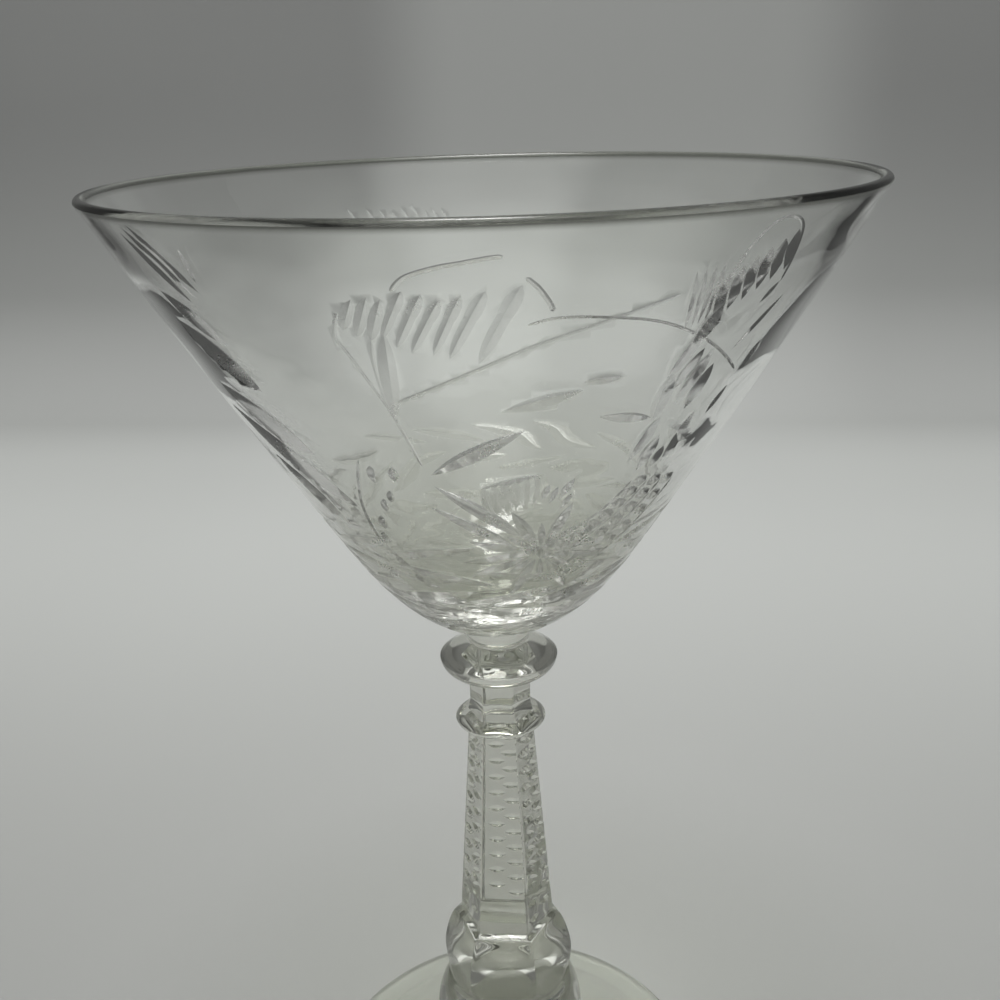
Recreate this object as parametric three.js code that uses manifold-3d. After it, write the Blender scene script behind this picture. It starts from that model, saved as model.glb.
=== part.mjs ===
// A stemmed cocktail glass. A blown conical bowl stands on a small merese and a round collar knop, then on a
// pressed six-sided stem with grooves across every other face, a round base knop and a disc foot. The pieces are
// fused hot, so each stands on the flat seat of the one below it.
// Millimetres, +Z up. The origin is the middle of the plane that the foot rests on.

import * as THREE from "three";
import { mergeVertices } from "three/addons/utils/BufferGeometryUtils.js";
import Module from "manifold-3d";

// Driving dimensions

// Foot
const footDiameter = 54;
const footEdge = 2.0; // thickness of the rounded edge
const restingBand = 2.4; // width of the flat ring that touches the table
const footHollow = 1.2; // height of the hollow under the middle
const discRise = 1.1; // how much the plain disc climbs from its edge to the swell
const swellDiameter = 27; // where the disc starts to swell up to the base knop
const swellHeight = 8.5; // height of the seat under the base knop
const footSeatDiameter = 15.6; // seam between the foot and the base knop

// Base knop
const baseKnopDiameter = 20.4;
const baseKnopHeight = 12;
const baseKnopWidest = 5.6; // height of its widest line above the seam
const stemSeatDiameter = 15; // seam between the base knop and the stem

// Pressed stem, all widths across the corners
const faceCount = 6;
const facetKnopWidth = 17.8;
const facetKnopHeight = 10.3;
const facetKnopWidest = 4.2; // height of its widest line above the seam
const facetKnopFullness = 0.35; // how round its upper side is, from 0 for a cone
const ledgeWidth = 0.6; // sloping ledge round the bottom of the shaft
const ledgeDrop = 0.3;
const shaftBottomWidth = 12.8;
const shaftTopWidth = 8.5;
const shaftLength = 29.4;
const ringDiameter = 11.6;
const ringUnderside = 1.25; // from the top of the shaft to the widest line of the ring
const ringShoulder = 0.85; // from that line to the foot of the neck
const ringFullness = 0.2; // how round its shoulder is, from 0 for a cone
const neckFootWidth = 8.5;
const neckFlare = 1.3; // height over which the neck narrows from its foot
const neckWidth = 7.9;
const neckLength = 4.7;

// Grooves that a mitre wheel leaves across every other face of the shaft, in two staggered columns
const grooveCount = 11; // in each column
const grooveDepth = 0.3;
const grooveHeight = 1.0;
const grooveLength = 2.5;
const grooveMargin = 1.6; // from the first and last groove to the ends of the shaft
const columnSpacingBottom = 2.8; // between the middles of the two columns
const columnSpacingTop = 1.4;

// Collar knop
const collarDiameter = 14.9;
const collarHeight = 4.2;
const collarWidest = 2.1; // height of its widest line above the seam
const collarFullness = 0.12; // how round its upper side is, from 0 for a cone
const collarLip = 1.0; // how far the collar's lower seat reaches past the corners of the neck

// Merese
const mereseDiameter = 8.2;
const mereseHeight = 2.3;
const mereseSeatDiameter = 7.2; // both seams of the merese

// Bowl
const rimDiameter = 86;
const bowlHeight = 54.2;
const rimWall = 1.2;
const lowerWall = 1.9; // wall thickness at the shoulder
const bottomWall = 4.6; // thickness of glass above the merese
const shoulderDiameter = 35.6; // where the rounded bottom runs into the flank
const shoulderHeight = 12.2;
const flankLean = 33; // degrees from upright, at the shoulder
const flankBulge = 0.25; // how far the flank swells out of the straight
const leanReach = 6.6; // how far below the shoulder the flank's lean still shows
const bottomSpread = 6.2; // how far the rounded bottom runs out from its seam before it climbs
const bottomClimb = 1.4; // and how high it is there
const insideFlat = 8; // how far the inside of the bottom stays nearly level

// Facets
const curveSteps = 5;
const bowlSides = 64;
const footSides = 56;
const knopSides = 40;
const pointsPerFace = 6;
const wheelSides = 24;

const clearGlass = new THREE.MeshStandardMaterial({
  color: 0xdfe4de,
  roughness: 0.04,
  metalness: 0,
  transparent: true,
  opacity: 0.4,
});

// Heights of the seams, from the foot up
const facetKnopTop = facetKnopHeight;
const shaftTop = facetKnopTop + shaftLength;
const ringWidest = shaftTop + ringUnderside;
const neckFoot = ringWidest + ringShoulder;
const neckBottom = neckFoot + neckFlare;
const stemHeight = neckBottom + neckLength;
const baseKnopSeam = swellHeight;
const stemSeam = baseKnopSeam + baseKnopHeight;
const collarSeam = stemSeam + stemHeight;
const mereseSeam = collarSeam + collarHeight;
const bowlSeam = mereseSeam + mereseHeight;

const wasm = await Module();
wasm.setup();

// Solids

function turned(outline, sides) {
  const geometry = new THREE.LatheGeometry(outline.getPoints(curveSteps), sides);
  geometry.rotateX(Math.PI / 2);
  return geometry;
}

function solidOf(geometry) {
  const plain = geometry.clone();
  plain.deleteAttribute("normal");
  plain.deleteAttribute("uv");
  const merged = mergeVertices(plain, 1e-4);
  return new wasm.Manifold(
    new wasm.Mesh({
      numProp: 3,
      vertProperties: new Float32Array(merged.attributes.position.array),
      triVerts: new Uint32Array(merged.index.array),
    }),
  );
}

function geometryOf(solid) {
  const mesh = solid.getMesh();
  const geometry = new THREE.BufferGeometry();
  geometry.setAttribute("position", new THREE.BufferAttribute(mesh.vertProperties, 3));
  geometry.setIndex(new THREE.BufferAttribute(mesh.triVerts, 1));
  geometry.computeVertexNormals();
  return geometry;
}

// How far the handles of a quarter-round curve reach towards its other end
const roundness = 0.55;

// A quarter-round curve that leaves a seam level and reaches the widest line upright, or the other way round

function swellOut(outline, seamRadius, seamHeight, widestRadius, widestHeight) {
  outline.bezierCurveTo(
    THREE.MathUtils.lerp(seamRadius, widestRadius, roundness),
    seamHeight,
    widestRadius,
    THREE.MathUtils.lerp(widestHeight, seamHeight, roundness),
    widestRadius,
    widestHeight,
  );
}

function drawIn(outline, widestRadius, widestHeight, seamRadius, seamHeight, fullness = roundness) {
  outline.bezierCurveTo(
    widestRadius,
    THREE.MathUtils.lerp(widestHeight, seamHeight, fullness),
    THREE.MathUtils.lerp(seamRadius, widestRadius, fullness),
    seamHeight,
    seamRadius,
    seamHeight,
  );
}

// A round bead between two flat seams
function knop(lowerSeat, diameter, widest, upperSeat, height, fullness) {
  const outline = new THREE.Path();
  outline.moveTo(0, 0);
  outline.lineTo(lowerSeat / 2, 0);
  swellOut(outline, lowerSeat / 2, 0, diameter / 2, widest);
  drawIn(outline, diameter / 2, widest, upperSeat / 2, height, fullness);
  outline.lineTo(0, height);
  return turned(outline, knopSides);
}

function foot() {
  const edge = footEdge / 2;
  const bandOuter = footDiameter / 2 - edge;
  const bandInner = bandOuter - restingBand;
  const swell = swellDiameter / 2;
  const seat = footSeatDiameter / 2;
  const discSlope = discRise / (bandOuter - swell);
  const outline = new THREE.Path();
  outline.moveTo(0, footHollow);
  outline.quadraticCurveTo(bandInner / 2, footHollow, bandInner, 0);
  outline.lineTo(bandOuter, 0);
  outline.absarc(bandOuter, edge, edge, -Math.PI / 2, Math.PI / 2, false);
  outline.lineTo(swell, footEdge + discRise);
  outline.quadraticCurveTo(seat, footEdge + discRise + discSlope * (swell - seat), seat, swellHeight);
  outline.lineTo(0, swellHeight);
  return turned(outline, footSides);
}

// The stem is lofted through level sections that run from a circle to a flat-sided hexagon. The outline gives
// the radius to the corners, and faceting(z) says how flat the sides are, from 0 for a circle to 1.
function stemOutline() {
  const facetKnop = facetKnopWidth / 2;
  const shaftBottom = shaftBottomWidth / 2;
  const shaftTopRadius = shaftTopWidth / 2;
  const ring = ringDiameter / 2;
  const neck = neckWidth / 2;
  const outline = new THREE.Path();
  outline.moveTo(stemSeatDiameter / 2, 0);
  swellOut(outline, stemSeatDiameter / 2, 0, facetKnop, facetKnopWidest);
  const ledgeHeight = facetKnopTop - ledgeDrop;
  drawIn(outline, facetKnop, facetKnopWidest, shaftBottom + ledgeWidth, ledgeHeight, facetKnopFullness);
  outline.lineTo(shaftBottom, facetKnopTop);
  outline.lineTo(shaftTopRadius, shaftTop);
  swellOut(outline, shaftTopRadius, shaftTop, ring, ringWidest);
  drawIn(outline, ring, ringWidest, neckFootWidth / 2, neckFoot, ringFullness);
  outline.lineTo(neck, neckBottom);
  outline.lineTo(neck, stemHeight);
  return outline;
}

function faceting(z) {
  if (z < facetKnopWidest) {
    return THREE.MathUtils.smoothstep(z, 0, facetKnopWidest);
  }
  const rising = THREE.MathUtils.smoothstep(z, shaftTop, ringWidest);
  const falling = THREE.MathUtils.smoothstep(z, ringWidest, neckFoot);
  return 1 - rising + falling;
}

function loftedStem() {
  const sections = stemOutline().getPoints(curveSteps);
  const around = faceCount * pointsPerFace;
  const faceAngle = (2 * Math.PI) / faceCount;
  const positions = [];
  for (const section of sections) {
    const flatness = faceting(section.y);
    for (let i = 0; i < around; i += 1) {
      const angle = (i / around) * 2 * Math.PI;
      const fromFaceMiddle = (angle % faceAngle) - faceAngle / 2;
      const flat = Math.cos(faceAngle / 2) / Math.cos(fromFaceMiddle);
      const radius = section.x * THREE.MathUtils.lerp(1, flat, flatness);
      positions.push(radius * Math.cos(angle), radius * Math.sin(angle), section.y);
    }
  }
  const bottomMiddle = positions.length / 3;
  positions.push(0, 0, 0);
  const topMiddle = bottomMiddle + 1;
  positions.push(0, 0, stemHeight);

  const triangles = [];
  const lastRow = (sections.length - 1) * around;
  for (let i = 0; i < around; i += 1) {
    const next = (i + 1) % around;
    for (let row = 0; row < lastRow; row += around) {
      const above = row + around;
      triangles.push(row + i, row + next, above + next);
      triangles.push(row + i, above + next, above + i);
    }
    triangles.push(bottomMiddle, next, i);
    triangles.push(topMiddle, lastRow + i, lastRow + next);
  }
  const geometry = new THREE.BufferGeometry();
  geometry.setAttribute("position", new THREE.Float32BufferAttribute(positions, 3));
  geometry.setIndex(triangles);
  return geometry;
}

// The wheel that grinds a groove: a disc with a sharp edge, sunk by the groove's depth into a face at x = 0
function mitreWheel() {
  const radius = grooveLength ** 2 / (8 * grooveDepth) + grooveDepth / 2;
  const body = radius - 2 * grooveDepth;
  const outline = new THREE.Path();
  outline.moveTo(0, -grooveHeight);
  outline.lineTo(body, -grooveHeight);
  outline.lineTo(radius, 0);
  outline.lineTo(body, grooveHeight);
  outline.lineTo(0, grooveHeight);
  const wheel = turned(outline, wheelSides);
  wheel.translate(radius - grooveDepth, 0, 0);
  return wheel;
}

function groovedStem() {
  let stem = solidOf(loftedStem());
  const wheel = mitreWheel();
  const faceAngle = (2 * Math.PI) / faceCount;
  const step = (shaftLength - 2 * grooveMargin) / (2 * grooveCount - 1);
  for (let groove = 0; groove < 2 * grooveCount; groove += 1) {
    const along = grooveMargin + groove * step;
    const corner = THREE.MathUtils.lerp(shaftBottomWidth, shaftTopWidth, along / shaftLength) / 2;
    const spacing = THREE.MathUtils.lerp(columnSpacingBottom, columnSpacingTop, along / shaftLength);
    const column = groove % 2 ? spacing / 2 : -spacing / 2;
    for (let face = 1; face < faceCount; face += 2) {
      const placed = wheel.clone();
      placed.translate(corner * Math.cos(faceAngle / 2), column, facetKnopTop + along);
      placed.rotateZ((face + 0.5) * faceAngle);
      stem = stem.subtract(solidOf(placed));
    }
  }
  return geometryOf(stem);
}

// The bowl's outline runs up the outside, over the rounded rim and down the inside
function bowl() {
  const seat = mereseSeatDiameter / 2;
  const shoulder = new THREE.Vector2(shoulderDiameter / 2, shoulderHeight);
  const rim = new THREE.Vector2(rimDiameter / 2, bowlHeight - rimWall / 2);
  const lean = THREE.MathUtils.degToRad(flankLean);
  const upFlank = new THREE.Vector2(Math.sin(lean), Math.cos(lean));
  const inward = new THREE.Vector2(-Math.cos(lean), Math.sin(lean));
  const bulge = new THREE.Vector2(rim.y - shoulder.y, shoulder.x - rim.x).setLength(2 * flankBulge);
  const flankMiddle = shoulder.clone().add(rim).divideScalar(2).add(bulge);
  const underFlank = shoulder.clone().addScaledVector(upFlank, -leanReach);

  const innerShoulder = shoulder.clone().addScaledVector(inward, lowerWall);
  const innerMiddle = flankMiddle.clone().addScaledVector(inward, (lowerWall + rimWall) / 2);
  const innerRim = new THREE.Vector2(rim.x - rimWall, rim.y);
  const underInner = innerShoulder.clone().addScaledVector(upFlank, -leanReach);

  const outline = new THREE.Path();
  outline.moveTo(0, 0);
  outline.lineTo(seat, 0);
  outline.bezierCurveTo(
    seat + bottomSpread,
    bottomClimb,
    underFlank.x,
    underFlank.y,
    shoulder.x,
    shoulder.y,
  );
  outline.quadraticCurveTo(flankMiddle.x, flankMiddle.y, rim.x, rim.y);
  outline.absarc(rim.x - rimWall / 2, rim.y, rimWall / 2, 0, Math.PI, false);
  outline.lineTo(innerRim.x, innerRim.y);
  outline.quadraticCurveTo(innerMiddle.x, innerMiddle.y, innerShoulder.x, innerShoulder.y);
  outline.bezierCurveTo(underInner.x, underInner.y, insideFlat, bottomWall, 0, bottomWall);
  return turned(outline, bowlSides);
}

// Assembly

const glass = new THREE.Group();

function stand(name, geometry, seam) {
  const piece = new THREE.Mesh(geometry, clearGlass.clone());
  piece.name = name;
  piece.position.z = seam;
  glass.add(piece);
}

stand("foot", foot(), 0);
stand(
  "base_knop",
  knop(footSeatDiameter, baseKnopDiameter, baseKnopWidest, stemSeatDiameter, baseKnopHeight),
  baseKnopSeam,
);
stand("pressed_stem", groovedStem(), stemSeam);
const collarSeat = neckWidth + 2 * collarLip;
stand(
  "collar_knop",
  knop(collarSeat, collarDiameter, collarWidest, mereseSeatDiameter, collarHeight, collarFullness),
  collarSeam,
);
stand(
  "bowl_merese",
  knop(mereseSeatDiameter, mereseDiameter, mereseHeight / 2, mereseSeatDiameter, mereseHeight),
  mereseSeam,
);
stand("bowl", bowl(), bowlSeam);

export default glass;
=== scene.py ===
import math

import bpy
from mathutils import Matrix, Vector


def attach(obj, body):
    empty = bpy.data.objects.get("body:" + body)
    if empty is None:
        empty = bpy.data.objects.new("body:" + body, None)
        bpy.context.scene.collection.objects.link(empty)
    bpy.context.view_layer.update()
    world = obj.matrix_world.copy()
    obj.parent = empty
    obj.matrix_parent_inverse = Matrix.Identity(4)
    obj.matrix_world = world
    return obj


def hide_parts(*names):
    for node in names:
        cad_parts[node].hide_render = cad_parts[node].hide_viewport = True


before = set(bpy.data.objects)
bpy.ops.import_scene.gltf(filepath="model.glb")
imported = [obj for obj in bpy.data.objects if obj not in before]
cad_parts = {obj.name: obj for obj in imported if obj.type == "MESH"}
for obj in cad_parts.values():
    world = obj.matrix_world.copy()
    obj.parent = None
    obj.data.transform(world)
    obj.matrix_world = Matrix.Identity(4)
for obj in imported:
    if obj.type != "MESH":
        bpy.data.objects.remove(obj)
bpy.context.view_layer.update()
print("frame loaded,", len(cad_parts), "nodes")

mm = 0.001
weld = 0.5e-6  # points this close are one
hair = 0.01  # mm, less than any two rows of points lie apart
turnSteps = 240  # one count for every turned piece, so that the seams match point for point
seams = {"foot": 8.5, "base": 20.5, "neck": 68.3, "collar": 72.5, "merese": 74.8}  # heights in mm


# selection and modifiers

def clearSelection():
    if bpy.context.mode != "OBJECT":
        bpy.ops.object.mode_set(mode="OBJECT")
    bpy.ops.object.select_all(action="DESELECT")


def pick(piece):
    clearSelection()
    piece.select_set(True)
    bpy.context.view_layer.objects.active = piece


def applied(piece, kind, **settings):
    pick(piece)
    modifier = piece.modifiers.new(kind.lower(), kind)
    for name, value in settings.items():
        setattr(modifier, name, value)
    bpy.ops.object.modifier_apply(modifier=modifier.name)


def cutAway(piece, cutter):
    applied(piece, "BOOLEAN", object=cutter, operation="DIFFERENCE", solver="MANIFOLD",
            material_mode="TRANSFER")
    bpy.data.objects.remove(cutter)


def joined(pieces):
    pick(pieces[0])
    for piece in pieces:
        piece.select_set(True)
    if len(pieces) > 1:
        bpy.ops.object.join()
    return pieces[0]


def copyMoved(piece, move):
    copy = piece.copy()
    copy.data = piece.data.copy()
    copy.data.transform(move)
    bpy.context.collection.objects.link(copy)
    return copy


def smooth(piece, degrees):
    pick(piece)
    bpy.ops.object.shade_smooth_by_angle(angle=math.radians(degrees))


# outlines, as (radius, height) in mm

def mix(a, b, share):
    return a + (b - a) * share


def bend(steps, *handles):
    made = []
    for i in range(1, steps + 1):
        row = [Vector(p) for p in handles]
        while len(row) > 1:
            row = [a.lerp(b, i / steps) for a, b in zip(row, row[1:])]
        made.append(tuple(row[0]))
    return made


def swellOut(seat, widest, steps=14, fullness=0.55):
    out = (mix(seat[0], widest[0], fullness), seat[1])
    up = (widest[0], mix(widest[1], seat[1], fullness))
    return bend(steps, seat, out, up, widest)


def drawIn(widest, seat, steps=14, fullness=0.55):
    up = (widest[0], mix(widest[1], seat[1], fullness))
    back = (mix(seat[0], widest[0], fullness), seat[1])
    return bend(steps, widest, up, back, seat)


def halfRound(centre, radius, start, steps=12):
    turns = [math.radians(start + 180 * i / steps) for i in range(1, steps + 1)]
    return [(centre[0] + radius * math.cos(a), centre[1] + radius * math.sin(a)) for a in turns]


# a turned piece: the outline is drawn point by point from a plane merged to one vertex, then spun
def turn(name, outline):
    clearSelection()
    bpy.ops.mesh.primitive_plane_add(size=mm)
    piece = bpy.context.object
    piece.name = piece.data.name = name
    bpy.ops.object.mode_set(mode="EDIT")
    bpy.ops.mesh.select_all(action="SELECT")
    bpy.ops.mesh.merge(type="CENTER")
    here = (0, 0)
    for i, there in enumerate(outline):
        step = ((there[0] - here[0]) * mm, 0, (there[1] - here[1]) * mm)
        if i == 0:
            bpy.ops.transform.translate(value=step)
        else:
            bpy.ops.mesh.extrude_vertices_move(TRANSFORM_OT_translate={"value": step})
        here = there
    bpy.ops.mesh.select_all(action="SELECT")
    bpy.ops.mesh.spin(steps=turnSteps, angle=2 * math.pi, center=(0, 0, 0), axis=(0, 0, 1))
    bpy.ops.mesh.select_all(action="SELECT")
    bpy.ops.mesh.remove_doubles(threshold=weld)
    bpy.ops.mesh.normals_make_consistent(inside=False)
    bpy.ops.object.mode_set(mode="OBJECT")
    return piece


# shader wiring

class Wire:
    def __init__(self, tree, socket=None):
        self.tree = tree
        self.socket = socket

    def node(self, kind, settings=None, inputs=None, out=0):
        made = self.tree.nodes.new("ShaderNode" + kind)
        for name, value in (settings or {}).items():
            setattr(made, name, value)
        for name, value in (inputs or {}).items():
            if isinstance(value, Wire):
                self.tree.links.new(value.socket, made.inputs[name])
            else:
                made.inputs[name].default_value = value
        return Wire(self.tree, made.outputs[out] if made.outputs else None)

    def maths(self, operation, first, second):
        return self.node("Math", {"operation": operation}, {0: first, 1: second})

    def __add__(self, other):
        return self.maths("ADD", self, other)

    def __sub__(self, other):
        return self.maths("SUBTRACT", self, other)

    def __rsub__(self, other):
        return self.maths("SUBTRACT", other, self)

    def __mul__(self, other):
        return self.maths("MULTIPLY", self, other)

    def ramp(self, low, high):
        return self.node("MapRange", {"interpolation_type": "SMOOTHSTEP"},
                         {"Value": self, "From Min": low, "From Max": high})

    def blend(self, first, second):
        return self.node("Mix", {"data_type": "RGBA"}, {0: self, 6: first, 7: second}, out=2)


def newMaterial(name):
    material = bpy.data.materials.new(name)
    material.use_nodes = True
    material.node_tree.nodes.clear()
    return material, Wire(material.node_tree)


# glass finishes

blownLook = {
    "tint": (0.985, 0.99, 0.98, 1), "tintDeep": (0.965, 0.972, 0.957, 1), "ior": 1.52,
    # the thick-glass colour is the glass's own colour deepened as painted shade, low in the bowl and, less,
    # on the foot
    "thickTintAndShade": (0.7, 0.71, 0.645, 1), "thickFrom": (-0.03, 0.045), "thickBelow": (0.078, 0.104),
    # the rim colour is painted shade on the edge of the rim
    "rimShade": (0.33, 0.338, 0.306, 1), "rimFrom": (0.1278, 0.1285), "rimHaze": 0.2,
    "polish": 0.004, "smudge": 0.03, "smudgeSize": 85, "wear": 0.1,
    "wave": 0.0009, "waveSize": 48, "waveStretch": 2.0, "ripple": 0.0005, "rippleSize": 150,
    "shadow": (0.8, 0.805, 0.79, 1),
}
pressedLook = {
    "tint": (0.78, 0.785, 0.735, 1), "tintDeep": (0.755, 0.76, 0.705, 1), "ior": 1.52,
    # the thick-glass colour is painted shade, deepened well past the glass's own colour on the base knop and
    # the lower facet knop
    "thickTintAndShade": (0.36, 0.365, 0.325, 1), "thickFrom": (-0.02, -0.01), "thickBelow": (0.018, 0.031),
    "rimShade": (0.755, 0.76, 0.705, 1), "rimFrom": (0.2, 0.3), "rimHaze": 0.0,
    "polish": 0.008, "smudge": 0.035, "smudgeSize": 160, "wear": 0.0,
    "wave": 0.00004, "waveSize": 260, "waveStretch": 1.0, "ripple": 0.0, "rippleSize": 150,
    "shadow": (0.66, 0.665, 0.64, 1),
}
cutLook = {
    "tint": (0.97, 0.975, 0.96, 1), "tintDeep": (0.94, 0.945, 0.925, 1), "ior": 1.52,
    # the thick-glass colour is painted shade on the cuts low in the bowl, deeper than the glass's own colour
    "thickTintAndShade": (0.72, 0.73, 0.665, 1), "thickBelow": (0.085, 0.106),
    "frost": 0.18, "polish": 0.18, "haze": 0.2, "patchSize": 220, "patchFrom": (0.4, 0.7),
    "grindSize": 2600, "grind": 0.000012, "shadow": (0.8, 0.805, 0.79, 1),
}
# where both polished glasses are smudged and worn, and where the bowl is uneven
polishedGrain = {
    "smudgeFrom": (0.52, 0.78), "tintFrom": (0.3, 0.75), "scratchSize": 1400, "scratchFrom": (0.4, 0.65),
    "wornBelow": (0.00005, 0.00025), "rippleFrom": (0.06, 0.075), "rippleBelow": (0.084, 0.108),
}


def principled(net, look, colour, rough, bump):
    surface = net.node("BsdfPrincipled", None, {
        "Base Color": colour, "Roughness": rough, "IOR": look["ior"],
        "Transmission Weight": 1 - look.get("frost", 0), "Normal": bump,
    })
    # lamps reach through the glass, so that the shadow stays light
    lampRay = net.node("LightPath", out="Is Shadow Ray")
    through = net.node("BsdfTransparent", None, {"Color": look["shadow"]})
    mixed = net.node("MixShader", None, {0: lampRay, 1: surface, 2: through})
    net.node("OutputMaterial", None, {"Surface": mixed})


def polishedGlass(name, look, grain):
    material, net = newMaterial(name)
    place = net.node("TexCoord", out="Object")
    height = net.node("SeparateXYZ", None, {0: place}, out=2)
    cloud = net.node("TexNoise", None, {"Vector": place, "Scale": look["smudgeSize"], "Detail": 4.0})
    smudge = cloud.ramp(*grain["smudgeFrom"])
    # worn where it stands: fine scratches on the ring that touches the table
    scratch = net.node("TexNoise", None, {"Vector": place, "Scale": grain["scratchSize"], "Detail": 2.0})
    wear = (1 - height.ramp(*grain["wornBelow"])) * scratch.ramp(*grain["scratchFrom"]) * look["wear"]
    rim = height.ramp(*look["rimFrom"])
    rough = smudge * look["smudge"] + look["polish"] + wear + rim * look["rimHaze"]
    stretched = net.node("Mapping", None, {"Vector": place, "Scale": (1, 1, look["waveStretch"])})
    wave = net.node("TexNoise", None, {"Vector": stretched, "Scale": look["waveSize"], "Detail": 1.0})
    # the gathered glass low in the bowl is less even than the blown wall above it
    low = (1 - height.ramp(*grain["rippleBelow"])) * height.ramp(*grain["rippleFrom"])
    ripple = net.node("TexNoise", None, {"Vector": place, "Scale": look["rippleSize"], "Detail": 2.0}) * low
    swell = wave * look["wave"] + ripple * look["ripple"]
    bump = net.node("Bump", None, {"Height": swell, "Strength": 1.0, "Distance": 1.0})
    clear = cloud.ramp(*grain["tintFrom"]).blend(look["tint"], look["tintDeep"])
    # the solid bottom of the bowl, the base knop and, less, the foot show the glass's own colour through
    # their thickness, deepened well past it as painted shade; the edge of the rim is painted dark as shade
    thickAndShaded = height.ramp(*look["thickFrom"]) * (1 - height.ramp(*look["thickBelow"]))
    colour = rim.blend(thickAndShaded.blend(clear, look["thickTintAndShade"]), look["rimShade"])
    principled(net, look, colour, rough, bump)
    return material


def wheelCutGlass(name, look):
    material, net = newMaterial(name)
    place = net.node("TexCoord", out="Object")
    grind = net.node("TexNoise", None, {"Vector": place, "Scale": look["grindSize"], "Detail": 2.0})
    cloud = net.node("TexNoise", None, {"Vector": place, "Scale": look["patchSize"], "Detail": 1.0})
    patch = cloud.ramp(*look["patchFrom"])
    rough = patch * grind * look["haze"] + look["polish"]
    bump = net.node("Bump", None, {"Height": grind, "Strength": 1.0, "Distance": look["grind"]})
    height = net.node("SeparateXYZ", None, {0: place}, out=2)
    clear = patch.blend(look["tint"], look["tintDeep"])
    # painted shade: the cuts low in the bowl take the deepened thick-glass colour
    colour = height.ramp(*look["thickBelow"]).blend(look["thickTintAndShade"], clear)
    principled(net, look, colour, rough, bump)
    return material


def clearSeam(name):
    material, net = newMaterial(name)
    seam = net.node("BsdfTransparent", None, {"Color": (1, 1, 1, 1)})
    net.node("OutputMaterial", None, {"Surface": seam})
    return material


blownGlass = polishedGlass("blown_glass_polished", blownLook, polishedGrain)
pressedGlass = polishedGlass("pressed_glass_polished", pressedLook, polishedGrain)
cutGlass = wheelCutGlass("wheel_cut_glass", cutLook)
fusedSeam = clearSeam("fused_seam")  # hot glass fused to hot glass shows no line inside
print("materials made")


# the fused discs between two pieces take the seam material, the rest the piece's glass
def dress(piece, glass, seamHeights, node):
    piece.data.materials.clear()
    piece.data.materials.append(glass)
    piece.data.materials.append(fusedSeam)
    for face in piece.data.polygons:
        level = any(abs(face.center.z - h * mm) < weld for h in seamHeights)
        face.material_index = 1 if level and abs(face.normal.z) > 0.999 else 0
    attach(piece, "root")
    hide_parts(node)


# foot

footShape = {
    "radius": 27, "edge": 1.0, "band": 2.4, "hollow": 1.2, "hollowReach": 0.6, "rise": 1.1,
    "swellRadius": 13.5, "seatRadius": 7.8, "stepWidth": 2.2, "stepRise": 0.4, "stepFullness": 0.3,
}


def makeFoot(shape):
    top = 2 * shape["edge"]
    outer = shape["radius"] - shape["edge"]
    inner = outer - shape["band"]
    slope = shape["rise"] / (outer - shape["swellRadius"])
    swell = (shape["swellRadius"], top + shape["rise"])
    corner = (shape["seatRadius"], swell[1] + slope * (shape["swellRadius"] - shape["seatRadius"]))
    step = (inner - shape["stepWidth"], shape["stepRise"])
    stepBend = (mix(inner, step[0], shape["stepFullness"]), step[1] * shape["stepFullness"])
    outline = [(0, shape["hollow"])]
    outline += bend(16, outline[-1], (inner * shape["hollowReach"], shape["hollow"]), step)
    outline += bend(6, step, stepBend, (inner, 0))
    outline += bend(3, outline[-1], (outer, 0))
    outline += halfRound((outer, shape["edge"]), shape["edge"], -90)
    outline += bend(12, outline[-1], swell)
    outline += bend(20, swell, corner, (shape["seatRadius"], seams["foot"]))
    outline += [(0, seams["foot"])]
    return turn("foot_disc", outline)


foot = makeFoot(footShape)
dress(foot, blownGlass, [seams["foot"]], "foot")
smooth(foot, 28)


# round beads between two seams

baseShape = {"lowSeat": 7.8, "radius": 10.2, "widest": 14.1, "topSeat": 7.5, "fullness": 0.55}
mereseShape = {"lowSeat": 3.6, "radius": 4.1, "widest": 73.65, "topSeat": 3.6, "fullness": 0.55}
collarShape = {
    "lowSeat": 4.95, "radius": 7.45, "widest": 70.4, "topSeat": 3.6, "fullness": 0.12, "neckRadius": 3.95,
}


def makeBead(name, shape, low, high):
    widest = (shape["radius"], shape["widest"])
    outline = [(0, low)]
    if "neckRadius" in shape:
        outline += [(shape["neckRadius"], low)]
    outline += [(shape["lowSeat"], low)]
    outline += swellOut(outline[-1], widest)
    outline += drawIn(widest, (shape["topSeat"], high), fullness=shape["fullness"])
    outline += [(0, high)]
    return turn(name, outline)


baseKnop = makeBead("base_knop_bead", baseShape, seams["foot"], seams["base"])
dress(baseKnop, pressedGlass, [seams["foot"], seams["base"]], "base_knop")
smooth(baseKnop, 28)

merese = makeBead("merese_bead", mereseShape, seams["collar"], seams["merese"])
dress(merese, pressedGlass, [seams["collar"], seams["merese"]], "bowl_merese")
smooth(merese, 28)
print("foot and beads turned")


# pressed stem: turned to the line of its corners, then pressed flat on six sides

stemShape = {
    "seatRadius": 7.5, "knopRadius": 8.9, "knopWidest": 4.2, "knopTop": 10.3, "knopFullness": 0.35,
    "ledge": 0.6, "ledgeDrop": 0.3, "ringFullness": 0.2,
    "shaftLow": 6.4, "shaftHigh": 4.25, "shaftTop": 39.7, "ringRadius": 5.8, "ringWidest": 40.95,
    "footRadius": 4.25, "neckFoot": 41.8, "neckRadius": 3.95, "neckBottom": 43.1, "cornerRound": 0.3,
}
grooveShape = {
    "count": 11, "depth": 0.3, "height": 1.0, "length": 2.5, "margin": 1.6, "spacingLow": 2.8,
    "spacingHigh": 1.4, "faces": (90, 210, 330), "wheelSides": 64, "turns": 4,
}


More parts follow.
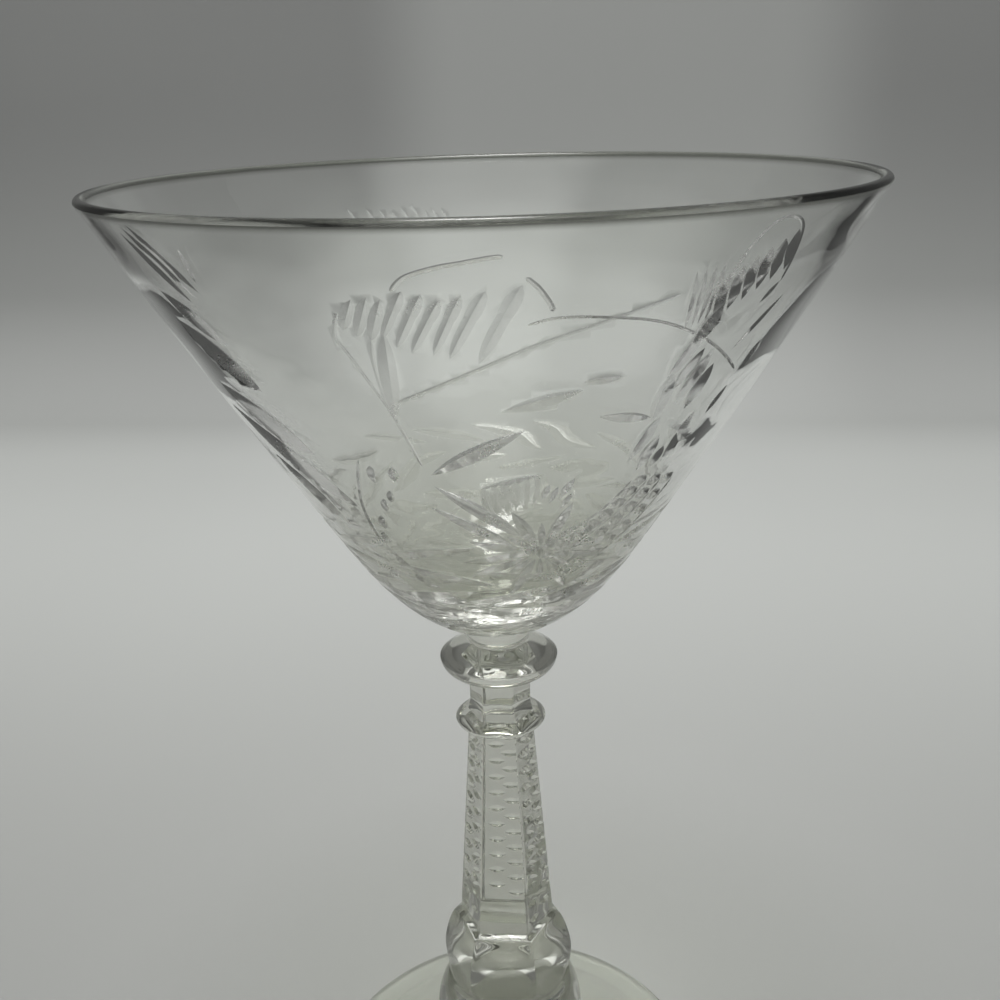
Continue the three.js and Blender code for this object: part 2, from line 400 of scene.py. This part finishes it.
def easeBetween(value, low, high):
    share = min(max((value - low) / (high - low), 0), 1)
    return share * share * (3 - 2 * share)


def flatnessAt(height):
    z = height - seams["base"]
    if z < stemShape["knopWidest"]:
        return easeBetween(z, 0, stemShape["knopWidest"])
    rising = easeBetween(z, stemShape["shaftTop"], stemShape["ringWidest"])
    return 1 - rising + easeBetween(z, stemShape["ringWidest"], stemShape["neckFoot"])


# radius of a hexagon with rounded corners, over the radius to its sharp corners
def hexagonShare(angle, reach):
    corner = math.radians(30) - abs(angle % math.radians(60) - math.radians(30))
    rounding = stemShape["cornerRound"] / reach
    cosine = math.cos(math.radians(30))
    centre = 1 - rounding / cosine
    if corner < math.atan2(rounding / 2, centre + rounding * cosine):
        return centre * math.cos(corner) + math.sqrt(rounding ** 2 - (centre * math.sin(corner)) ** 2)
    return cosine / math.cos(math.radians(30) - corner)


# presses what lies within a radius and up to a height, apart from the points on the axis
def pressFlat(piece, radius, top):
    for vertex in piece.data.vertices:
        reach, height = vertex.co.xy.length / mm, vertex.co.z / mm
        if hair < reach < radius and height < top + hair:
            share = hexagonShare(math.atan2(vertex.co.y, vertex.co.x), reach)
            vertex.co.xy *= mix(1, share, flatnessAt(height))


def makeStem(shape):
    base = seams["base"]
    knop = (shape["knopRadius"], base + shape["knopWidest"])
    shaftLow = (shape["shaftLow"], base + shape["knopTop"])
    shaftHigh = (shape["shaftHigh"], base + shape["shaftTop"])
    ring = (shape["ringRadius"], base + shape["ringWidest"])
    neckFoot = (shape["footRadius"], base + shape["neckFoot"])
    neck = (shape["neckRadius"], base + shape["neckBottom"])
    outline = [(0, base), (shape["seatRadius"], base)]
    outline += swellOut(outline[-1], knop, 16)
    ledge = (shaftLow[0] + shape["ledge"], shaftLow[1] - shape["ledgeDrop"])
    outline += drawIn(knop, ledge, 18, shape["knopFullness"])
    outline += bend(4, ledge, shaftLow)
    outline += bend(30, shaftLow, shaftHigh)
    outline += swellOut(shaftHigh, ring, 14)
    outline += drawIn(ring, neckFoot, 14, shape["ringFullness"])
    outline += bend(4, neckFoot, neck)
    outline += bend(6, neck, (neck[0], seams["neck"]))
    outline += [(0, seams["neck"])]
    piece = turn("pressed_stem_faceted", outline)
    pressFlat(piece, math.inf, seams["neck"])
    return piece


# the wheel that grinds a groove: a disc with a sharp edge, made from a sphere of five rows
def makeWheel(shape):
    radius = shape["length"] ** 2 / (8 * shape["depth"]) + shape["depth"] / 2
    body = radius - 2 * shape["depth"]
    clearSelection()
    bpy.ops.mesh.primitive_uv_sphere_add(segments=shape["wheelSides"], ring_count=4, radius=mm)
    wheel = bpy.context.object
    for vertex in wheel.data.vertices:
        level = round(1.2 * vertex.co.z / mm)  # 1 over the edge, 0 at it and -1 under it
        reach = body if level else radius
        if vertex.co.xy.length > 0.1 * mm:
            vertex.co.xy = vertex.co.xy.normalized() * reach * mm
        vertex.co.z = level * shape["height"] * mm
        vertex.co.x += (radius - shape["depth"]) * mm
    return wheel


# grooves across every other face of the shaft, in two staggered columns
def makeGrooves(shape):
    shaft = stemShape["shaftTop"] - stemShape["knopTop"]
    step = (shaft - 2 * shape["margin"]) / (2 * shape["count"] - 1)
    wheel = makeWheel(shape)
    copies = []
    for groove in range(2 * shape["count"]):
        along = shape["margin"] + groove * step
        corner = mix(stemShape["shaftLow"], stemShape["shaftHigh"], along / shaft)
        spacing = mix(shape["spacingLow"], shape["spacingHigh"], along / shaft)
        place = Vector((corner * math.cos(math.radians(30)), spacing / 2 if groove % 2 else -spacing / 2,
                        seams["base"] + stemShape["knopTop"] + along))
        for face in shape["faces"]:
            facing = Matrix.Rotation(math.radians(face), 4, "Z")
            copies.append(copyMoved(wheel, facing @ Matrix.Translation(place * mm)))
    bpy.data.objects.remove(wheel)
    return copies


# wheels that stand close together are taken out in turn
def cutGrooves(piece, shape):
    wheels = makeGrooves(shape)
    faces = len(shape["faces"])
    for first in range(shape["turns"]):
        cutAway(piece, joined([w for i, w in enumerate(wheels) if i // faces % shape["turns"] == first]))


stem = makeStem(stemShape)
cutGrooves(stem, grooveShape)
dress(stem, pressedGlass, [seams["base"], seams["neck"]], "pressed_stem")
smooth(stem, 24)

collar = makeBead("collar_bead", collarShape, seams["neck"], seams["collar"])
pressFlat(collar, collarShape["lowSeat"] - hair, seams["neck"])
dress(collar, pressedGlass, [seams["neck"], seams["collar"]], "collar_knop")
for face in collar.data.polygons:  # the lip outside the six-sided neck stays bare glass
    outside = face.center.xy.length > collarShape["neckRadius"] * mm
    if outside and face.center.z < (seams["neck"] + hair) * mm:
        face.material_index = 0
smooth(collar, 28)
print("stem pressed and grooved")


# bowl

bowlShape = {
    "seatRadius": 3.6, "rimRadius": 43, "height": 54.2, "rimWall": 1.2, "lowerWall": 1.9,
    "bottomWall": 4.6, "shoulder": (17.8, 12.2), "lean": 33, "bulge": 0.25, "leanReach": 6.6,
    "spread": 6.2, "climb": 1.4, "flat": 8,
}


def bowlWalls(shape):
    lean = math.radians(shape["lean"])
    upFlank = Vector((math.sin(lean), math.cos(lean)))
    inward = Vector((-math.cos(lean), math.sin(lean)))
    base = Vector((0, seams["merese"]))
    shoulder = Vector(shape["shoulder"]) + base
    rim = Vector((shape["rimRadius"], shape["height"] - shape["rimWall"] / 2)) + base
    across = Vector((rim.y - shoulder.y, shoulder.x - rim.x)).normalized()
    middle = (shoulder + rim) / 2 + across * 2 * shape["bulge"]
    seat = Vector((shape["seatRadius"], 0)) + base
    outside = [tuple(seat)]
    outside += bend(26, seat, seat + Vector((shape["spread"], shape["climb"])),
                    shoulder - upFlank * shape["leanReach"], shoulder)
    outside += bend(52, shoulder, middle, rim)
    innerShoulder = shoulder + inward * shape["lowerWall"]
    innerMiddle = middle + inward * (shape["lowerWall"] + shape["rimWall"]) / 2
    innerRim = rim - Vector((shape["rimWall"], 0))
    bottom = Vector((0, shape["bottomWall"])) + base
    inside = bend(40, innerRim, innerMiddle, innerShoulder)
    inside += bend(24, innerShoulder, innerShoulder - upFlank * shape["leanReach"],
                   bottom + Vector((shape["flat"], 0)), bottom)
    edge = halfRound((rim.x - shape["rimWall"] / 2, rim.y), shape["rimWall"] / 2, 0)
    return outside, edge, inside


outerWall, rimEdge, innerWall = bowlWalls(bowlShape)
bowl = turn("bowl_cut", [(0, seams["merese"])] + outerWall + rimEdge + innerWall)


# wheel cutting on the outside of the bowl
# a place on the wall is (degrees round from the front, height in mm)

cutterShape = {
    "above": 0.06, "runOut": 0.02, "step": 0.9, "leastSteps": 6, "lineSteps": 5, "lineFullness": 24,
    "spineSteps": 40,
}


def wallAt(height):
    for low, high in zip(outerWall, outerWall[1:]):
        if height <= high[1]:
            break
    share = (height - low[1]) / (high[1] - low[1])
    slope = Vector((high[1] - low[1], low[0] - high[0])).normalized()
    return mix(low[0], high[0], share), slope


def onWall(turned, height):
    radius, slope = wallAt(height)
    angle = math.radians(turned)
    out = Vector((math.sin(angle), -math.cos(angle), 0))
    return out * radius + Vector((0, 0, height)), out * slope.x + Vector((0, 0, slope.y))


# smooth line through places on the wall
def lineThrough(places, steps):
    row = [Vector(p) for p in places]
    row = [row[0] * 2 - row[1]] + row + [row[-1] * 2 - row[-2]]
    made = [row[1]]
    for a, b, c, d in zip(row, row[1:], row[2:], row[3:]):
        for i in range(1, steps + 1):
            t = i / steps
            made.append(0.5 * (2 * b + (c - a) * t + (2 * a - 5 * b + 4 * c - d) * t * t
                               + (3 * b - a - 3 * c + d) * t ** 3))
    return [tuple(p) for p in made]


# the wedge of glass that the wheel takes out along a line: full in the middle, running out at both ends
def wheelCut(places, width, depth, fullness):
    above = cutterShape["above"]
    sections = []
    count = len(places) - 1
    points = [onWall(*p) for p in places]
    for i, (point, out) in enumerate(points):
        ahead = points[min(i + 1, count)][0] - points[max(i - 1, 0)][0]
        aside = out.cross(ahead).normalized()
        share = 1 - abs(2 * i / count - 1) ** fullness
        sunk = depth * share - cutterShape["runOut"] * (1 - share)
        half = aside * (width / 2 / depth * (sunk + above))
        top = point + out * above
        sections.append([point - out * sunk, top + half, top - half])
    clearSelection()
    bpy.ops.mesh.primitive_circle_add(vertices=3, radius=mm, fill_type="NGON")
    cutter = bpy.context.object
    corners = [v.co.xy for v in cutter.data.vertices]
    bpy.ops.object.mode_set(mode="EDIT")
    bpy.ops.mesh.select_all(action="SELECT")
    for i in range(count):
        bpy.ops.mesh.extrude_region_move(TRANSFORM_OT_translate={"value": (0, 0, mm)})
    bpy.ops.object.mode_set(mode="OBJECT")
    for v in cutter.data.vertices:
        corner = min(range(3), key=lambda k: (corners[k] - v.co.xy).length)
        v.co = sections[round(v.co.z / mm)][corner] * mm
    bpy.ops.object.mode_set(mode="EDIT")
    bpy.ops.mesh.select_all(action="SELECT")
    bpy.ops.mesh.normals_make_consistent(inside=False)
    bpy.ops.object.mode_set(mode="OBJECT")
    cutter.data.materials.append(cutGlass)
    return cutter


def between(start, end, share):
    return mix(start[0], end[0], share), mix(start[1], end[1], share)


def mitre(start, end, width, depth, fullness=2):
    length = (onWall(*end)[0] - onWall(*start)[0]).length
    steps = max(cutterShape["leastSteps"], round(length / cutterShape["step"]))
    places = [between(start, end, i / steps) for i in range(steps + 1)]
    return wheelCut(places, width, depth, fullness)


def rowOfMitres(firstLow, firstHigh, lastLow, lastHigh, count, width, depth, fullness=2):
    made = []
    for i in range(count):
        share = i / (count - 1)
        low, high = between(firstLow, lastLow, share), between(firstHigh, lastHigh, share)
        made.append(mitre(low, high, width, depth, fullness))
    return made


def line(places, width, depth):
    places = lineThrough(places, cutterShape["lineSteps"])
    return wheelCut(places, width, depth, cutterShape["lineFullness"])


# cutters that don't overlap are taken out in one go
def cutOnce(cutters):
    cutAway(bowl, joined(cutters))


# the leaf is cut again on the far side, more lightly
secondLeaf = {"round": 206, "drop": 0.26}


def cutTwice(cutters):
    lower = Matrix.Translation((0, 0, -secondLeaf["drop"] * mm))
    across = lower @ Matrix.Rotation(math.radians(secondLeaf["round"]), 4, "Z")
    cutOnce(cutters + [copyMoved(cutter, across) for cutter in cutters])


# neighbours in a row are cut in turn, so that no two cutters of one go touch
def cutInTurn(cutters, cut=cutOnce):
    cut(cutters[0::2])
    cut(cutters[1::2])


# a ring ends beside its start, so its last cut is made alone
def cutRing(cutters):
    cutInTurn(cutters[:-1])
    cutOnce(cutters[-1:])


# a cut is (start, end, width, depth), with a fullness where it is blunter than a leaf
# one leaf at the front: an arch over strokes of (start, end, width), and a folded side on the left
fanLeafFront = {
    "archLeft": [(-5.4, 122.9), (-3.3, 124.2), (0.4, 125.0), (2.9, 125.3), (6.2, 125.7), (7.9, 125.8)],
    "archRight": [(10.3, 124.0), (11.9, 123.0), (13.4, 121.6), (14.0, 120.8)],
    "strokes": [
        ((-7.8, 118.6), (-4.1, 122.8), 1.15), ((-6.1, 117.8), (-1.9, 122.5), 1.2),
        ((-4.2, 117.3), (0.2, 122.0), 1.2), ((-1.3, 117.2), (2.7, 122.3), 1.2),
        ((0.8, 116.8), (5.6, 122.6), 1.4), ((4.7, 116.3), (9.8, 123.0), 1.6),
    ],
    "longFrom": -0.06, "longTo": 1.04, "longWidth": 0.85, "longDepth": 0.15,
    "upperFrom": 0.48, "upperTo": 1.06, "upperDepth": 0.18, "fullness": 3,
    "fold": [
        ((-9.6, 118.2), (-6.6, 122.4), 1.2, 0.2, 3), ((-11.3, 118.6), (-8.2, 122.6), 1.2, 0.2, 3),
        ((-13.0, 119.2), (-10.3, 122.3), 1.1, 0.2, 3),
    ],
    "foldBlade": ((-7.4, 119.4), (-9.7, 109.8), 1.7, 0.3, 3),
    "foldLine": [(-9.4, 118.5), (-10.1, 116.2), (-10.3, 113.9), (-10.2, 111.6)],
}
# a row of cuts is (first start, first end, last start, last end, count, width, depth), and a fullness too
fanLeafSide = {
    "arch": [(37.2, 121.5), (38.3, 124.8), (40.5, 126.9), (43.5, 127.3), (46.4, 126.2), (48, 123.6),
             (48.5, 121)],
    "upper": ((37.8, 118.4), (37.2, 122.8), (47.6, 122.2), (45.9, 126.1), 6, 1.8, 0.52),
    "left": ((33.6, 117.6), (31.6, 123.6), (36.4, 118.2), (35.6, 124.2), 4, 0.8, 0.16),
}
stems = {
    "rising": [(-10.4, 111.5), (-2.8, 113.5), (4.7, 115.6), (12.6, 117.8), (21.4, 119.6), (31.6, 121.6)],
    "falling": [(10.5, 119.6), (14.8, 120.2), (21.4, 119.9), (28.9, 119.0), (36.8, 117.0), (45, 114.2),
                (51, 111.9)],
    "main": [(-12.7, 121.0), (-13.8, 119.8), (-14.4, 118.3), (-13.5, 117.1), (-11.8, 114.1), (-10.0, 111.1),
             (-8.4, 107.2), (-7.2, 104.4)],
    "leftArc": [(-20.2, 105.0), (-23.7, 101.4), (-26.7, 97.7), (-27.4, 93.6), (-23.6, 90.8), (-19.0, 88.3)],
}
# fine lines, as (places, width, depth), in groups that don't cross
lineGroups = [
    [(fanLeafFront["archLeft"], 0.5, 0.14), (fanLeafFront["archRight"], 0.5, 0.14)],
    [(fanLeafSide["arch"], 0.4, 0.11), (stems["main"], 0.4, 0.08), (stems["leftArc"], 0.45, 0.13)],
    [(stems["rising"], 0.4, 0.07)],
    [(stems["falling"], 0.32, 0.09), (fanLeafFront["foldLine"], 0.36, 0.07)],
]
frontLeaves = [
    ((-6.3, 103.5), (11.7, 108.8), 1.9, 0.5), ((7.2, 110.9), (20.4, 112.8), 1.6, 0.24),
    ((19.6, 113.6), (26.4, 113.8), 1.2, 0.2), ((23.8, 109.6), (35.0, 108.5), 1.3, 0.38),
]
sideLeaves = [
    ((46.3, 119.2), (48.3, 121.2), 0.7, 0.25), ((46.1, 114.6), (51.7, 119.7), 0.8, 0.25),
    ((52.8, 111.6), (53.5, 114.9), 1.2, 0.3), ((36.6, 111.3), (39.3, 115.6), 1.6, 0.36),
    ((41.9, 108.6), (43.3, 113.6), 1.9, 0.4), ((49.9, 107.1), (51.7, 110.3), 1.0, 0.26),
    ((37.3, 101.9), (39.0, 106.2), 1.9, 0.36), ((41.2, 101.9), (42.0, 104.5), 1.4, 0.3),
    ((40.2, 106.9), (48.7, 104.4), 2.0, 0.32),
]
sideLeavesOver = [
    ((35.8, 115.4), (38.8, 120.0), 2.2, 0.34), ((34.2, 112.6), (37.2, 117.3), 2.2, 0.32),
    ((35.4, 107.8), (35.0, 113.6), 2.2, 0.32), ((38.4, 109.6), (41.4, 115.2), 2.2, 0.34),
    ((33.8, 103.4), (36.8, 108.6), 2.0, 0.3), ((43.6, 102.2), (45.6, 108.2), 1.8, 0.28),
]
flankLeaves = [
    ((-42.5, 127.6), (-35.6, 121.2), 1.25, 0.62), ((-40.9, 127.9), (-34.0, 121.8), 1.25, 0.62),
    ((-44.1, 127.0), (-37.2, 120.6), 1.25, 0.62), ((-32.5, 126.1), (-33.3, 122.8), 0.8, 0.25),
    ((-46.3, 118.4), (-34.5, 111.5), 4.2, 0.55), ((-49.3, 111.2), (-31.3, 104.6), 4.0, 0.55),
]
flankLeavesUnder = [
    ((-44.6, 121.4), (-35.8, 116.4), 2.6, 0.55), ((-53.9, 108.2), (-27.6, 98.1), 3.8, 0.55),
    ((-49.8, 102.6), (-36.5, 94.7), 3.0, 0.45),
]
fernCuts = [
    ((-18.4, 104.3), (-19.2, 101.9), 1.3, 0.4), ((-13.6, 104.4), (-14.3, 102.4), 1.1, 0.36),
    ((-16.4, 101.2), (-17.4, 99.5), 0.9, 0.3), ((-18.9, 100.0), (-20.0, 98.1), 1.0, 0.3),
    ((-22.2, 97.5), (-23.3, 95.4), 1.1, 0.32), ((-24.6, 95.0), (-25.4, 93.2), 1.0, 0.3),
    ((-24.6, 91.6), (-23.8, 89.8), 1.0, 0.3), ((-21.3, 88.9), (-19.6, 87.6), 0.9, 0.3),
]
petal = [
    ((2.9, 101.8), (15.4, 103.4), 1.1, 0.2), ((3.2, 101.0), (6.4, 97.6), 0.9, 0.2),
    ((16.4, 100.0), (17.5, 102.0), 0.8, 0.3), ((18.1, 99.4), (19.5, 101.6), 0.8, 0.3),
    ((20.2, 99.9), (22.7, 102.4), 1.0, 0.34), ((21.2, 98.6), (23.0, 100.5), 0.8, 0.3),
]
petalInner = ((5.0, 98.0), (4.0, 102.2), (14.5, 99.25), (14.5, 103.6), 6, 1.1, 0.18, 4)
starBlades = [((-6.2, 102.2), (13.4, 94.8), 1.8, 0.4), ((-8.4, 99.4), (11.8, 93.4), 1.5, 0.36)]
bottomRings = [
    {"height": 80.2, "count": 9, "slant": 0.8}, {"height": 82.9, "count": 11, "slant": -0.9},
    {"height": 85.8, "count": 13, "slant": 1.0}, {"height": 89.0, "count": 14, "slant": -1.1},
    {"height": 92.6, "count": 15, "slant": 1.2},
]
bottomCut = {"reach": 0.62, "shift": 0.37, "width": 1.4, "depth": 0.26, "fullness": 2.5}
bricks = {
    "spine": [(23.6, 90.7), (29.6, 92), (35.4, 93.8), (40.6, 95.9), (44.4, 98.6), (46.2, 101.2)],
    "pitch": 2.0, "rows": [(-3.5, -1.4), (-1.0, 1.0), (1.4, 3.5)], "width": 1.6, "depth": 0.42,
    "fullness": 5, "edges": [-3.75, -1.2, 1.2, 3.75], "edgePitch": 1.2, "edgeWidth": 0.4, "edgeDepth": 0.12,
}
star = {
    "middle": (18.6, 92.5), "rays": 16, "turned": 0.25, "short": 5.2, "long": 8.4, "gap": 1.0,
    "width": 1.4, "depth": 0.42,
}


def placeOf(point):
    return math.degrees(math.atan2(point.x, -point.y)), point.z


# points along a line on the wall, each with the direction across the line
def stations(places, pitch):
    made = []
    due = 0
    spine = lineThrough(places, cutterShape["spineSteps"])
    for a, b in zip(spine, spine[1:]):
        point, out = onWall(*a)
        step = onWall(*b)[0] - point
        if due <= 0:
            made.append((point, out.cross(step.normalized())))
            due += pitch
        due -= step.length
    return made


def bandOfCuts(look):
    rows = []
    for near, far in look["rows"]:
        row = []
        for point, across in stations(look["spine"], look["pitch"]):
            start, end = placeOf(point + across * near), placeOf(point + across * far)
            row.append(mitre(start, end, look["width"], look["depth"], look["fullness"]))
        rows.append(row)
    return rows


def bandEdge(look, offset):
    marks = stations(look["spine"], look["edgePitch"])
    places = [placeOf(point + across * offset) for point, across in marks]
    return wheelCut(places, look["edgeWidth"], look["edgeDepth"], cutterShape["lineFullness"])


def starRays(look):
    made = []
    point, out = onWall(*look["middle"])
    level = Vector((0, 0, 1)).cross(out).normalized()
    rise = out.cross(level)
    for i in range(look["rays"]):
        angle = 2 * math.pi * (i + look["turned"]) / look["rays"]
        way = level * math.cos(angle) + rise * math.sin(angle)
        reach = look["long"] if i % 2 else look["short"]
        start, end = placeOf(point + way * look["gap"]), placeOf(point + way * reach)
        made.append(mitre(start, end, look["width"] * reach / look["long"], look["depth"]))
    return made


# each stroke of the leaf is a long cut, cut again wider over its upper half
def leafStrokes(look):
    long, upper = [], []
    for low, high, width in look["strokes"]:
        start, end = between(low, high, look["longFrom"]), between(low, high, look["longTo"])
        long.append(mitre(start, end, width * look["longWidth"], look["longDepth"], look["fullness"]))
        start, end = between(low, high, look["upperFrom"]), between(low, high, look["upperTo"])
        upper.append(mitre(start, end, width, look["upperDepth"], look["fullness"]))
    return long, upper


# rings of slanting cuts round the bottom, each ring leaning the other way
def ringOfCuts(ring, cut):
    made = []
    for i in range(ring["count"]):
        middle = 360 * (i + cut["shift"] * ring["slant"]) / ring["count"]
        half = 360 / ring["count"] * cut["reach"]
        start = (middle - half, ring["height"] - ring["slant"])
        end = (middle + half, ring["height"] + ring["slant"])
        made.append(mitre(start, end, cut["width"], cut["depth"], cut["fullness"]))
    return made


dress(bowl, blownGlass, [seams["merese"]], "bowl")
for ring in bottomRings:
    cutRing(ringOfCuts(ring, bottomCut))
for group in lineGroups:
    cutOnce([line(*cut) for cut in group])
for row in leafStrokes(fanLeafFront):
    cutInTurn(row, cutTwice)
cutTwice([mitre(*stroke) for stroke in fanLeafFront["fold"]])
cutOnce([mitre(*fanLeafFront["foldBlade"])])
cutInTurn(rowOfMitres(*petalInner))
cutOnce([mitre(*stroke) for stroke in petal])
cutInTurn(rowOfMitres(*fanLeafSide["upper"]))
cutInTurn(rowOfMitres(*fanLeafSide["left"]))
cutOnce([mitre(*leaf) for leaf in frontLeaves + flankLeaves])
cutOnce([mitre(*leaf) for leaf in sideLeaves + flankLeavesUnder + fernCuts])
cutInTurn([mitre(*leaf) for leaf in sideLeavesOver])
cutInTurn([mitre(*leaf) for leaf in starBlades])
for row in bandOfCuts(bricks):
    cutInTurn(row)
cutOnce([bandEdge(bricks, offset) for offset in bricks["edges"]])
cutInTurn(starRays(star))
smooth(bowl, 22)
print("bowl cut:", len(bowl.data.polygons), "faces")


# stage

stageLook = {
    "floorSize": 3.0, "under": 0.0002, "wallBehind": 0.40, "wallHeight": 0.7, "sweep": 0.05, "sweepSteps": 12,
    # painted shade: the floor is darker near the front than far back
    "near": (0.385, 0.391, 0.375, 1), "far": (0.675, 0.69, 0.666, 1), "farFrom": (-0.03, 0.24),
    # painted shade: the wall is darker higher up and further back, by the climb
    "high": (0.25, 0.253, 0.248, 1), "highFrom": (-0.01, 0.14), "behindFrom": (0.29, 0.4), "climb": 0.45,
    "grain": 0.06, "grainSize": 9, "roughness": 0.9, "shine": 0.1,
    # painted light: a paler band behind the bowl, paler still low down
    "paleFrom": (-0.1, -0.05), "paleTo": (0.085, 0.14), "pale": 0.27,
    "lowPaleFrom": (-0.15, -0.09), "lowPaleTo": (0.03, 0.09), "lowPaleUnder": (0.04, 0.1), "paintedLowLight": 0.95,
    "edgeFrom": 0.13, "edgeTurn": 5.7, "edgeSpread": 0.4, "edge": (0.034, 0.12),
    # painted shade on the floor past the sheet
    "beyondShade": (0.19, 0.192, 0.186, 1),
}


def makeStage(look):
    material, net = newMaterial("stage_paper")
    place = net.node("TexCoord", out="Object")
    grain = net.node("TexNoise", None, {"Vector": place, "Scale": look["grainSize"], "Detail": 3.0})
    across = net.node("SeparateXYZ", None, {0: place}, out=0)
    depth = net.node("SeparateXYZ", None, {0: place}, out=1)
    height = net.node("SeparateXYZ", None, {0: place}, out=2)
    # painted shade: the backdrop darkens as it rises and towards the back, with a little noise
    climb = (height.ramp(*look["highFrom"]) + depth.ramp(*look["behindFrom"])) * look["climb"]
    climb = climb + grain * look["grain"]
    # painted light: the paper is made paler in a band behind the bowl, more so low down
    paintedLightBand = across.ramp(*look["paleFrom"]) * (1 - across.ramp(*look["paleTo"]))
    paintedLowLight = across.ramp(*look["lowPaleFrom"]) * (1 - across.ramp(*look["lowPaleTo"]))
    paintedLowLight = paintedLowLight * (1 - height.ramp(*look["lowPaleUnder"]))
    climb = climb * (1 - paintedLightBand * look["pale"]) * (1 - paintedLowLight * look["paintedLowLight"])
    # painted shade: the floor darkens towards the front
    away = depth.ramp(*look["farFrom"])
    # the sheet widens away from the camera and ends beside the picture; past it the floor is painted dark as
    # shade
    way = math.radians(look["edgeTurn"])
    aside = net.node("VectorMath", {"operation": "DOT_PRODUCT"},
                     {0: place, 1: (math.cos(way), math.sin(way), 0)}, out=1)
    ahead = net.node("VectorMath", {"operation": "DOT_PRODUCT"},
                     {0: place, 1: (-math.sin(way), math.cos(way), 0)}, out=1) + look["edgeFrom"]
    past = net.node("Math", {"operation": "ABSOLUTE"}, {0: aside}) - ahead * look["edgeSpread"]
    sheet = 1 - past.ramp(*look["edge"])
    seen = climb.blend(away.blend(look["near"], look["far"]), look["high"])
    paper = net.node("BsdfPrincipled", None, {
        "Base Color": sheet.blend(look["beyondShade"], seen),
        "Roughness": look["roughness"], "Specular IOR Level": look["shine"],
    })
    net.node("OutputMaterial", None, {"Surface": paper})
    clearSelection()
    bpy.ops.mesh.primitive_plane_add(size=look["floorSize"])
    floor = bpy.context.object
    floor.name = "stage_floor"
    wall = look["wallBehind"]
    floor.data.transform(Matrix.Translation((0, wall - look["floorSize"] / 2, -look["under"])))
    bpy.ops.object.mode_set(mode="EDIT")
    bpy.ops.mesh.select_all(action="DESELECT")
    bpy.ops.object.mode_set(mode="OBJECT")
    for edge in floor.data.edges:
        edge.select = all(floor.data.vertices[i].co.y > wall - look["sweep"] for i in edge.vertices)
    bpy.ops.object.mode_set(mode="EDIT")
    bpy.ops.mesh.select_mode(type="EDGE")
    bpy.ops.mesh.extrude_edges_move(TRANSFORM_OT_translate={"value": (0, 0, look["wallHeight"])})
    bpy.ops.object.mode_set(mode="OBJECT")
    applied(floor, "BEVEL", width=look["sweep"], segments=look["sweepSteps"])
    floor.data.materials.append(material)
    smooth(floor, 40)


makeStage(stageLook)

lampLook = {"size": 0.24, "height": 0.75, "power": 2.6, "place": (-0.02, -0.05)}


def makeLamp(look):
    clearSelection()
    bpy.ops.object.light_add(type="AREA", location=(*look["place"], look["height"]))
    lamp = bpy.context.object
    lamp.name = "softbox"
    lamp.data.shape = "DISK"
    lamp.data.size = look["size"]
    lamp.data.energy = look["power"]


makeLamp(lampLook)

# the room: an even fill on what scatters light, and for what looks straight out, or through or off glass,
# a dim room, a little darker overhead, with a soft glow above and in front of the bowl
roomLook = {
    "fill": 0.54, "scatteredFrom": (0.2, 0.8), "dim": (0.18, 0.182, 0.174, 1),
    "overhead": (0.14, 0.143, 0.136, 1), "overheadFrom": (0.55, 0.9),
    "glow": (1.1, 1.12, 1.08, 1), "glowFrom": (0.05, -0.52, 0.85), "glowSpread": (0.84, 0.97),
}


def makeRoom(look):
    world = bpy.data.worlds.new("studio")
    bpy.context.scene.world = world
    world.use_nodes = True
    world.node_tree.nodes.clear()
    net = Wire(world.node_tree)
    way = net.node("TexCoord", out="Generated")
    height = net.node("SeparateXYZ", None, {0: way}, out=2)
    facing = net.node("VectorMath", {"operation": "DOT_PRODUCT"}, {0: way, 1: look["glowFrom"]}, out=1)
    seen = height.ramp(*look["overheadFrom"]).blend(look["dim"], look["overhead"])
    seen = facing.ramp(*look["glowSpread"]).blend(seen, look["glow"])
    scattered = net.node("LightPath", out="Diffuse Depth").ramp(*look["scatteredFrom"])
    fill = (look["fill"], look["fill"], look["fill"], 1)
    room = net.node("Background", None, {"Color": scattered.blend(seen, fill), "Strength": 1.0})
    net.node("OutputWorld", None, {"Surface": room})


makeRoom(roomLook)


# camera at the photograph's angle

cameraLook = {
    "away": 131.2, "height": 138.2, "around": 6.0, "down": 19.81, "roll": 1.73, "pan": 0.324,
    "lens": 41.4, "sensor": 36, "nearest": 0.005,
}


def makeCamera(look):
    around = math.radians(look["around"])
    clearSelection()
    bpy.ops.object.camera_add()
    camera = bpy.context.object
    heading = Matrix.Rotation(around - math.radians(look["pan"]), 4, "Z")
    tilt = Matrix.Rotation(math.radians(90 - look["down"]), 4, "X")
    roll = Matrix.Rotation(-math.radians(look["roll"]), 4, "Z")
    stand = Vector((math.sin(around), -math.cos(around), 0)) * look["away"] + Vector((0, 0, look["height"]))
    camera.matrix_world = Matrix.Translation(stand * mm) @ heading @ tilt @ roll
    camera.data.lens = look["lens"]
    camera.data.sensor_width = look["sensor"]
    camera.data.clip_start = look["nearest"]
    bpy.context.scene.camera = camera


makeCamera(cameraLook)

scene = bpy.context.scene
scene.view_settings.view_transform = "Standard"
scene.cycles.max_bounces = 24
scene.cycles.transmission_bounces = 24
scene.cycles.glossy_bounces = 12
scene.cycles.transparent_max_bounces = 48
scene.cycles.caustics_reflective = False

print("scene made")
